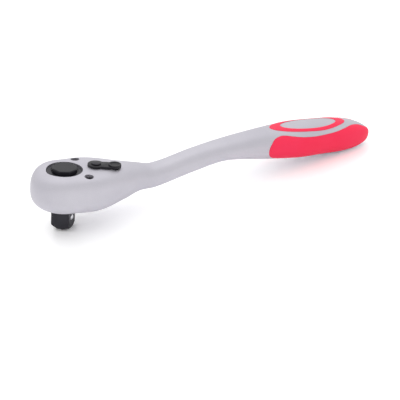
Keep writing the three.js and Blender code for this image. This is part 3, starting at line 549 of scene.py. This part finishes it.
left_room = panel_block(SEAT_GAP)
cut(left_room, recess_skin, keep_tool=True)
right_room = mirrored(left_room)
oval_room = oval_block(SEAT_GAP)
cut(oval_room, recess_skin)
for room in (left_room, right_room, oval_room):
    cut(body, room)

left_panel = panel_block(0)
cut(left_panel, proud_skin, "INTERSECT", keep_tool=True)
cut(left_panel, inner_skin, keep_tool=True)
right_panel = mirrored(left_panel)
oval_band = oval_block(0)
cut(oval_band, proud_skin, "INTERSECT")
cut(oval_band, inner_skin)

# Red rubber: moulded against a fine spark-eroded tool, so it is matt with a slight sheen.
# The eroded grain is about 0.1 mm and is drawn at 0.6 mm so that it shows.
red_rubber = surface(
    "red_thermoplastic_rubber", metallic=0, tones=("fe2c53", "ff325a"), tone_mm=18,
    rough=(0.5, 0.62), grain_mm=0.6, grain_depth_mm=0.015, seed=0.3, sheen=0.3,
)

fit(body, "ratchet_body", "handle", satin_chrome)
fit(left_panel, "grip_panel_left", "handle", red_rubber)
fit(right_panel, "grip_panel_right", "handle", red_rubber)
fit(oval_band, "oval_inlay", "handle", red_rubber)


# Cover plate and its screws
# A pressed steel plate, let flush into the underside and held by two socket cap screws from above.
# The screws are blackened, and their heads sit deep in counterbores in the top of the head.
LOWER_JOURNAL = 10.6
SCREW_RADIUS = 1.5
SCREW_HEAD_RADIUS = 2.75
SCREW_HEAD_HEIGHT = 3
SCREW_FOOT = 17.5
SCREW_EASE = 0.2
SOCKET_CORNER = 1.45
SOCKET_SIDES = 6
SOCKET_DEPTH = 1.6

cut(cover, pear(0, BELOW, COVER_TOP), "INTERSECT")
cut(cover, round_bar(LOWER_JOURNAL + RUN_GAP, BELOW, ABOVE))
for side in (-1, 1):
    cut(cover, round_bar(SCREW_RADIUS + SEAT_GAP, BELOW, ABOVE, SCREW_X, side * SCREW_Y, HOLE_SIDES))
fit(cover, "cover_plate", "handle", satin_chrome)

# Black oxide on steel: a thin dark conversion layer, oiled, that keeps the metal's dull shine.
# Turning marks are about 0.05 mm apart; the grain is drawn at 0.4 mm so that it shows.
black_oxide = surface(
    "black_oxide_steel", metallic=0.6, tones=("24232a", "2c2b32"), tone_mm=6,
    rough=(0.34, 0.48), grain_mm=0.4, grain_depth_mm=0.008, seed=0.5,
)

EASE_ANGLE = 35
EASE_STEPS = 2


def eased(piece, width, angle=EASE_ANGLE):
    """Eases the edges of a piece that are sharper than an angle."""
    pick(piece)
    step = piece.modifiers.new("ease", "BEVEL")
    step.width = width * MM
    step.segments = EASE_STEPS
    step.limit_method = "ANGLE"
    step.angle_limit = math.radians(angle)
    bpy.ops.object.modifier_apply(modifier=step.name)


seat = SCREW_SEAT + SEAT_GAP
crown = seat + SCREW_HEAD_HEIGHT
for name, side in (("cover_screw_left", -1), ("cover_screw_right", 1)):
    y = side * SCREW_Y
    screw = round_bar(SCREW_HEAD_RADIUS, seat, crown, SCREW_X, y, SMALL_SIDES)
    cut(screw, round_bar(SCREW_RADIUS, SCREW_FOOT, seat + PAST, SCREW_X, y, HOLE_SIDES), "UNION")
    cut(screw, round_bar(SOCKET_CORNER, crown - SOCKET_DEPTH, crown + PAST, SCREW_X, y, SOCKET_SIDES))
    eased(screw, SCREW_EASE)
    fit(screw, name, "handle", black_oxide)


# Ratchet wheel and drive square
# One hardened steel piece: the toothed wheel, the journals above and below it, and the male square.
# It is turned, milled and hobbed, bored out for the quick release, then blackened.
DRIVE_ANGLE = math.radians(50)
DRIVE_SQUARE = 12.7
SQUARE_CORNER = 0.8
SQUARE_CORNER_STEPS = 4
TIP_RADIUS = 5.98
TIP_EASE = 0.25
TIP_EASE_ANGLE = 25
COLLAR_BOTTOM = 15.8
COLLAR_EASE = 0.4
WHEEL_BOTTOM = 20.15
WHEEL_TOP = 35.7
WHEEL_RADIUS = 13.6
TOOTH_COUNT = 72
TOOTH_DEPTH = 0.8
JOURNAL_RADIUS = 12
JOURNAL_TOP = 41.3
JOURNAL_EASE = 0.35
BUTTON_WELL = 9.35
WELL_FLOOR = 32
CLIP_GROOVE = 10.05
CLIP_GROOVE_LOW = 39.9
CLIP_GROOVE_HIGH = 41.1
PIN_BORE = 2.15
PIN_BORE_FLOOR = 2.2
SEAL_GROOVE_LOW = 38.45
SEAL_GROOVE_HIGH = 39.95
SEAL_GROOVE_FLOOR = 10.75
# The ball rests out from the axis, in a bore that closes from a little past its centre to its mouth.
BALL_RADIUS = 2.6
BALL_HEIGHT = 8
BALL_CENTRE = 4.65
BALL_MOUTH = 2.15
BORE_CLOSES = 0.35
MOUTH_OVERLAP = 0.1


def square(side):
    """The corners of a square about the axis."""
    half = side / 2
    return [(-half, -half), (half, -half), (half, half), (-half, half)]


root = WHEEL_BOTTOM + PAST
wheel = plate(square(DRIVE_SQUARE), 0, root)
bpy.ops.object.mode_set(mode="EDIT")
bpy.ops.mesh.select_all(action="DESELECT")
mesh = bmesh.from_edit_mesh(wheel.data)
for edge in mesh.edges:
    edge.select = abs(edge.verts[0].co.z - edge.verts[1].co.z) > MM
mesh.select_flush(True)
bmesh.update_edit_mesh(wheel.data)
bpy.ops.mesh.bevel(offset=SQUARE_CORNER * MM, segments=SQUARE_CORNER_STEPS)
bpy.ops.object.mode_set(mode="OBJECT")
cut(wheel, round_bar(TIP_RADIUS, 0, root, top_radius=TIP_RADIUS + root), "INTERSECT")
eased(wheel, TIP_EASE, TIP_EASE_ANGLE)
collar = round_bar(LOWER_JOURNAL, COLLAR_BOTTOM, root)
eased(collar, COLLAR_EASE)
cut(wheel, collar, "UNION")

teeth = []
for tooth in range(TOOTH_COUNT):
    for part, radius in ((0, WHEEL_RADIUS), (0.5, WHEEL_RADIUS - TOOTH_DEPTH)):
        angle = 2 * math.pi * (tooth + part) / TOOTH_COUNT
        teeth.append((radius * math.cos(angle), radius * math.sin(angle)))
cut(wheel, plate(teeth, WHEEL_BOTTOM, WHEEL_TOP), "UNION")
journal = round_bar(JOURNAL_RADIUS, WHEEL_TOP - PAST, JOURNAL_TOP, sides=FINE_SIDES)
eased(journal, JOURNAL_EASE)
cut(wheel, journal, "UNION")

cut(wheel, round_bar(BUTTON_WELL, WELL_FLOOR, ABOVE))
cut(wheel, round_bar(CLIP_GROOVE, CLIP_GROOVE_LOW, CLIP_GROOVE_HIGH))
cut(wheel, round_bar(PIN_BORE, PIN_BORE_FLOOR, ABOVE, sides=HOLE_SIDES))
groove = round_bar(JOURNAL_RADIUS + PAST, SEAL_GROOVE_LOW, SEAL_GROOVE_HIGH)
cut(groove, round_bar(SEAL_GROOVE_FLOOR, BELOW, ABOVE))
cut(wheel, groove)

face_out = DRIVE_SQUARE / 2
closing = BALL_CENTRE + BORE_CLOSES
bore_radius = BALL_RADIUS + RUN_GAP
socket = round_bar(bore_radius, 0, closing, sides=SMALL_SIDES)
cut(socket, round_bar(bore_radius, closing, face_out, sides=SMALL_SIDES, top_radius=BALL_MOUTH), "UNION")
cut(socket, round_bar(BALL_MOUTH, face_out - MOUTH_OVERLAP, face_out + PAST, sides=SMALL_SIDES), "UNION")
settle(socket, (math.pi / 2, 0, 0), (0, 0, BALL_HEIGHT))
cut(wheel, socket)
settle(wheel, (0, 0, DRIVE_ANGLE))
fit(wheel, "drive_gear", "drive", black_oxide, FACET_CREASE)


# Quick release
# A moulded eight-sided button over a pin that blocks a hardened ball; pressed, it lets the ball sink.
# A snap ring keeps the button in, and a coil spring lifts it.
BUTTON_TOP = 43.9
BUTTON_CORNER = 8.6
BUTTON_SIDES = 8
BUTTON_CHAMFER = 0.5
BUTTON_EASE = 0.12
BUTTON_EASE_ANGLE = 20
BUTTON_FLANGE = 9.2
BUTTON_ROOT = 0.5
FLANGE_BOTTOM = 38.25
FLANGE_TOP = 39.85
FLANGE_EASE = 0.2
BUTTON_ROOF = 41.5
SPRING_ROOM = 4.8
PIN_SEAT = 2.1
PIN_SEAT_TOP = 42.7
FACING_UP = 0.9

# Black plastic: glass-filled nylon, moulded and lightly textured, so it is dark with a soft grey sheen.
# The texture is about 0.2 mm and is drawn at 0.5 mm.
black_nylon = surface(
    "black_glass_filled_nylon", metallic=0, tones=("1b1a20", "232228"), tone_mm=5,
    rough=(0.36, 0.46), grain_mm=0.5, grain_depth_mm=0.01, seed=0.7, sheen=0.22,
)


def open_top(piece):
    """Opens a piece in edit mode with only its top face selected."""
    pick(piece)
    bpy.ops.object.mode_set(mode="EDIT")
    bpy.ops.mesh.select_all(action="DESELECT")
    mesh = bmesh.from_edit_mesh(piece.data)
    for face in mesh.faces:
        face.select = face.normal.z > FACING_UP
    bmesh.update_edit_mesh(piece.data)


button = round_bar(BUTTON_CORNER, FLANGE_TOP - BUTTON_ROOT, BUTTON_TOP, sides=BUTTON_SIDES)
open_top(button)
bpy.ops.mesh.inset(thickness=BUTTON_CHAMFER * MM)
rim_low = (BUTTON_TOP - BUTTON_CHAMFER / 2) * MM
rim_in = (BUTTON_CORNER - BUTTON_CHAMFER / 2) * MM
mesh = bmesh.from_edit_mesh(button.data)
for vert in mesh.verts:
    if vert.co.z > rim_low and vert.co.xy.length > rim_in:
        vert.co.z -= BUTTON_CHAMFER * MM
bmesh.update_edit_mesh(button.data)
bpy.ops.object.mode_set(mode="OBJECT")
eased(button, BUTTON_EASE, BUTTON_EASE_ANGLE)
flange = round_bar(BUTTON_FLANGE, FLANGE_BOTTOM, FLANGE_TOP)
eased(flange, FLANGE_EASE)
cut(button, flange, "UNION")
cut(button, round_bar(SPRING_ROOM, BELOW, BUTTON_ROOF, sides=SMALL_SIDES))
cut(button, round_bar(PIN_SEAT, BELOW, PIN_SEAT_TOP, sides=HOLE_SIDES))
settle(button, (0, 0, DRIVE_ANGLE))
fit(button, "release_button", "button", black_nylon, FACET_CREASE)

# Polished steel: a ground and lapped bearing ball, bright as a mirror.
# Its scuffs are too fine to show, so they are drawn at 0.4 mm and kept very faint.
polished = surface(
    "lapped_bearing_steel", metallic=1, tones=("d8d8dc", "e4e4e6"), tone_mm=2,
    rough=(0.06, 0.14), grain_mm=0.4, grain_depth_mm=0.002, seed=0.9,
)

# The round ball is a little smaller than its faceted solid, so that it clears the pin when it sinks.
BALL_EASE = 0.1
BALL_CUTS = 11
BALL_CREASE = 60

bpy.ops.object.select_all(action="DESELECT")
bpy.ops.mesh.primitive_cube_add(size=2 * BALL_RADIUS * MM)
ball = bpy.context.active_object
bpy.ops.object.mode_set(mode="EDIT")
bpy.ops.mesh.select_all(action="SELECT")
bpy.ops.mesh.subdivide(number_cuts=BALL_CUTS)
mesh = bmesh.from_edit_mesh(ball.data)
for vert in mesh.verts:
    vert.co = vert.co.normalized() * (BALL_RADIUS - BALL_EASE) * MM
    vert.co += Vector((0, -BALL_CENTRE, BALL_HEIGHT)) * MM
bmesh.update_edit_mesh(ball.data)
bpy.ops.object.mode_set(mode="OBJECT")
settle(ball, (0, 0, DRIVE_ANGLE))
fit(ball, "detent_ball", "ball", polished, BALL_CREASE)


# Reversing lever
# A black moulded thumb lever on a steel spindle, whose riveted head shows on the lever's hub.
# Its tail ends in a dished thumb pad with a raised rim.
LEVER_ANGLE = math.radians(-24)
LEVER_BOTTOM = 42.55
LEVER_TOP = 44.1
LEVER_HUB = 5.7
LEVER_REACH = 17
LEVER_TAIL = 4.4
LEVER_WAIST = 4.7
LEVER_EASE = 0.3
LEVER_EASE_ANGLE = 50
# The hub is round but for this angle each side of the tail, and the tail is round out to its own angle.
HUB_MOUTH = 50
HUB_STEPS = 40
TAIL_WRAP = 110
TAIL_STEPS = 36
# The thumb pad stands above the lever; its rim slopes down to a dished floor.
PAD_RISE = 0.9
PAD_ROOT = 0.3
PAD_RIM = 0.8
PAD_SLOPE = 0.7
PAD_SLOPE_DROP = 0.5
PAD_DISH = 1.2
PAD_DISH_DROP = 0.15
PAD_EASE = 0.2
PAD_EASE_ANGLE = 25
PAD_SIDES = 64
TANG = 4.2


def arc(x, radius, start, end, steps):
    """Points of an arc about a centre on the lever's middle line."""
    turns = np.radians(np.linspace(start, end, steps))
    return [(x + radius * math.cos(a), radius * math.sin(a)) for a in turns]


tail_centre = LEVER_REACH - LEVER_TAIL
waist_at = (tail_centre - LEVER_TAIL + LEVER_HUB) / 2
lever_edge = arc(0, LEVER_HUB, HUB_MOUTH, 360 - HUB_MOUTH, HUB_STEPS)
lever_edge.append((waist_at, -LEVER_WAIST))
lever_edge += arc(tail_centre, LEVER_TAIL, -TAIL_WRAP, TAIL_WRAP, TAIL_STEPS)
lever_edge.append((waist_at, LEVER_WAIST))
lever = plate(lever_edge, LEVER_BOTTOM, LEVER_TOP)
eased(lever, LEVER_EASE, LEVER_EASE_ANGLE)
pad = round_bar(LEVER_TAIL, LEVER_BOTTOM + PAD_ROOT, LEVER_TOP + PAD_RISE, tail_centre, sides=PAD_SIDES)
open_top(pad)
bpy.ops.mesh.inset(thickness=PAD_RIM * MM)
bpy.ops.mesh.inset(thickness=PAD_SLOPE * MM, depth=-PAD_SLOPE_DROP * MM)
bpy.ops.mesh.inset(thickness=PAD_DISH * MM, depth=-PAD_DISH_DROP * MM)
bpy.ops.object.mode_set(mode="OBJECT")
eased(pad, PAD_EASE, PAD_EASE_ANGLE)
cut(lever, pad, "UNION")
cut(lever, plate(square(TANG + 2 * SEAT_GAP), LEVER_BOTTOM - PAST, LEVER_TOP + PAST))
settle(lever, (0, 0, LEVER_ANGLE), (SPINDLE_X, 0, 0))
fit(lever, "reversing_lever", "lever", black_nylon)


# Lever spindle
# A turned and blackened steel pin through the roof of the head, with a groove for its seal.
# A square tang carries the lever, its end is riveted over, and a cross bore holds the plunger.
SPINDLE_BOTTOM = 20.15
SPINDLE_SHOULDER = 36.65
STEM_TOP = 42.6
STEM_SEAL = 39.5
STEM_SEAL_HALF = 0.65
STEM_SEAL_FLOOR = 2.15
RIVET_RADIUS = 3.4
RIVET_LOW = 44.2
RIVET_TOP = 45
RIVET_ROOT = 0.3
RIVET_EASE = 0.3
RIVET_SIDES = 64
PLUNGER_LEVEL = 28.4
PLUNGER_BORE = 1.6
PLUNGER_BORE_END = -2.5

spindle = round_bar(SPINDLE_RADIUS, SPINDLE_BOTTOM, SPINDLE_SHOULDER, sides=SMALL_SIDES)
cut(spindle, round_bar(STEM_RADIUS, SPINDLE_SHOULDER - PAST, STEM_TOP, sides=SMALL_SIDES), "UNION")
groove = round_bar(
    STEM_RADIUS + PAST, STEM_SEAL - STEM_SEAL_HALF, STEM_SEAL + STEM_SEAL_HALF, sides=SMALL_SIDES,
)
cut(groove, round_bar(STEM_SEAL_FLOOR, BELOW, ABOVE, sides=SMALL_SIDES))
cut(spindle, groove)
cut(spindle, plate(square(TANG), STEM_TOP - PAST, RIVET_LOW + RIVET_ROOT), "UNION")
rivet = round_bar(RIVET_RADIUS, RIVET_LOW, RIVET_TOP, sides=RIVET_SIDES)
eased(rivet, RIVET_EASE)
cut(spindle, rivet, "UNION")
bore = round_bar(PLUNGER_BORE, PLUNGER_BORE_END, SPINDLE_RADIUS + PAST, sides=HOLE_SIDES)
settle(bore, (0, -math.pi / 2, 0), (0, 0, PLUNGER_LEVEL))
cut(spindle, bore)
settle(spindle, (0, 0, LEVER_ANGLE), (SPINDLE_X, 0, 0))
fit(spindle, "lever_spindle", "lever", black_oxide)


# Inner works
# Pawl, plunger, pin, springs, snap ring, washer and seals keep the shapes of their solids; all but the
# snap ring are shut inside the head.

# Drawn spring wire: bright and smooth along its length, a little dulled by the die.
# The die lines are about 0.02 mm wide and are drawn at 0.3 mm.
spring_steel = surface(
    "drawn_spring_steel", metallic=1, tones=("8f9096", "a3a4a9"), tone_mm=3,
    rough=(0.25, 0.38), grain_mm=0.3, grain_depth_mm=0.004, seed=1.1,
)
# Ground tool steel: hardened and surface ground, so it is grey with a fine dull shine.
# The grinding lines are about 0.03 mm wide and are drawn at 0.3 mm.
hardened = surface(
    "ground_tool_steel", metallic=1, tones=("86868c", "9a9aa0"), tone_mm=4,
    rough=(0.3, 0.45), grain_mm=0.3, grain_depth_mm=0.006, seed=1.3,
)
# Sintered bronze: pressed from powder and soaked in oil, so it is brown, dull and finely pitted.
# The pits are about 0.05 mm across and are drawn at 0.25 mm.
bronze = surface(
    "sintered_bronze", metallic=1, tones=("9c7a45", "b28e58"), tone_mm=3,
    rough=(0.35, 0.5), grain_mm=0.25, grain_depth_mm=0.008, seed=1.5,
)
# Nitrile rubber: moulded seals, black and matt.
# The mould's texture is about 0.05 mm and is drawn at 0.3 mm.
seal_rubber = surface(
    "black_nitrile_rubber", metallic=0, tones=("141416", "1c1c1f"), tone_mm=3,
    rough=(0.6, 0.75), grain_mm=0.3, grain_depth_mm=0.006, seed=1.7,
)
INNER_FINISHES = {
    "thrust_washer": bronze,
    "drive_seal": seal_rubber,
    "lever_seal": seal_rubber,
    "button_circlip": black_oxide,
    "release_spring": spring_steel,
    "release_pin": hardened,
    "pawl": hardened,
    "pawl_plunger": hardened,
    "pawl_spring": spring_steel,
}
for name, finish in INNER_FINISHES.items():
    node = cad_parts[name]
    node.data.materials.clear()
    node.data.materials.append(finish)


# Floor and light
# A white table under a white sky; the tool leans on its drive and its grip, so the table is tilted
# against the tool. A broad lamp behind and above leaves a soft shadow in front of the grip.
FLOOR_GRADE = 0.1726
FLOOR_CENTRE = 100
FLOOR_RADIUS = 900
FLOOR_SIDES = 160
TABLE_WHITE = linear("f0f0f0")[0]
TABLE_ROUGHNESS = 0.25
# The table is lit past white to the camera and in reflections, as in a bright studio shot.
TABLE_EXPOSURE = 1.45
SKY_STRENGTH = 1
LAMP_PLACE = Vector((60, 420, 620)) * MM
LAMP_TARGET = Vector((110, 0, 30)) * MM
LAMP_SIDE = 800
LAMP_POWER = 0.8

bpy.ops.object.select_all(action="DESELECT")
bpy.ops.mesh.primitive_circle_add(vertices=FLOOR_SIDES, radius=FLOOR_RADIUS * MM, fill_type="NGON")
floor = bpy.context.active_object
floor.name = "floor"
rise = (FLOOR_CENTRE - TIP_RADIUS) * FLOOR_GRADE
floor.location = (FLOOR_CENTRE * MM, 0, rise * MM)
floor.rotation_euler = (0, -math.atan(FLOOR_GRADE), 0)

table = bpy.data.materials.new("white_table")
table.use_nodes = True
tree = table.node_tree
paint = tree.nodes["Principled BSDF"]
paint.inputs["Roughness"].default_value = TABLE_ROUGHNESS
rays = add_node(tree, "ShaderNodeLightPath", {})
seen = add_node(tree, "ShaderNodeMath", {
    0: rays.outputs["Is Camera Ray"], 1: rays.outputs["Is Glossy Ray"],
}, operation="MAXIMUM")
lift = add_node(tree, "ShaderNodeMapRange", {
    "Value": seen.outputs["Value"], "To Min": TABLE_WHITE, "To Max": TABLE_WHITE * TABLE_EXPOSURE,
})
tree.links.new(lift.outputs["Result"], paint.inputs["Base Color"])
floor.data.materials.append(table)

world = bpy.data.worlds.new("white_sky")
bpy.context.scene.world = world
world.use_nodes = True
sky = world.node_tree.nodes["Background"]
sky.inputs["Color"].default_value = linear("ffffff")
sky.inputs["Strength"].default_value = SKY_STRENGTH

bpy.ops.object.select_all(action="DESELECT")
bpy.ops.object.light_add(type="AREA", location=LAMP_PLACE)
lamp = bpy.context.active_object
lamp.data.size = LAMP_SIDE * MM
lamp.data.energy = LAMP_POWER
lamp.rotation_euler = (LAMP_TARGET - LAMP_PLACE).to_track_quat("-Z", "Y").to_euler()
